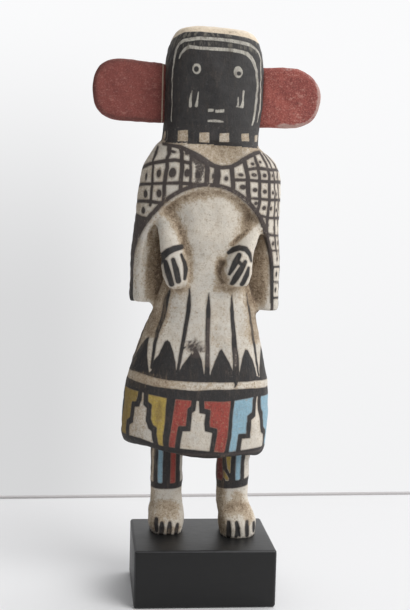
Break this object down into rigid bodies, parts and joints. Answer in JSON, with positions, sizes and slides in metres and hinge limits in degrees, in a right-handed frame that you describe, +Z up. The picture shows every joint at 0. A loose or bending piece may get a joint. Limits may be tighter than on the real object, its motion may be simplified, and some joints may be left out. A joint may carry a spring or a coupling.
{
  "type": "kachina doll",
  "caption": "Standing carved wooden figure with a box mask, paddle ears, an open cape and a flared painted dress, on a rectangular plinth.",
  "frame": {"origin": "middle of the plinth's underside", "axes": "+Z up, the doll faces -Y, +X to the right of someone who looks at its face"},
  "size_m": [0.1187, 0.06, 0.2958],
  "materials": {
    "painted_root_wood": "matte kaolin ground with black, red, yellow and blue paint, worn and browned",
    "red_ear_paint": "matte red earth paint, rubbed",
    "black_plinth_paint": "satin black paint"
  },
  "bodies": {
    "root": {"figure": "painted_root_wood", "right_ear": "red_ear_paint", "left_ear": "red_ear_paint", "plinth": "black_plinth_paint"}
  },
  "joints": []
}
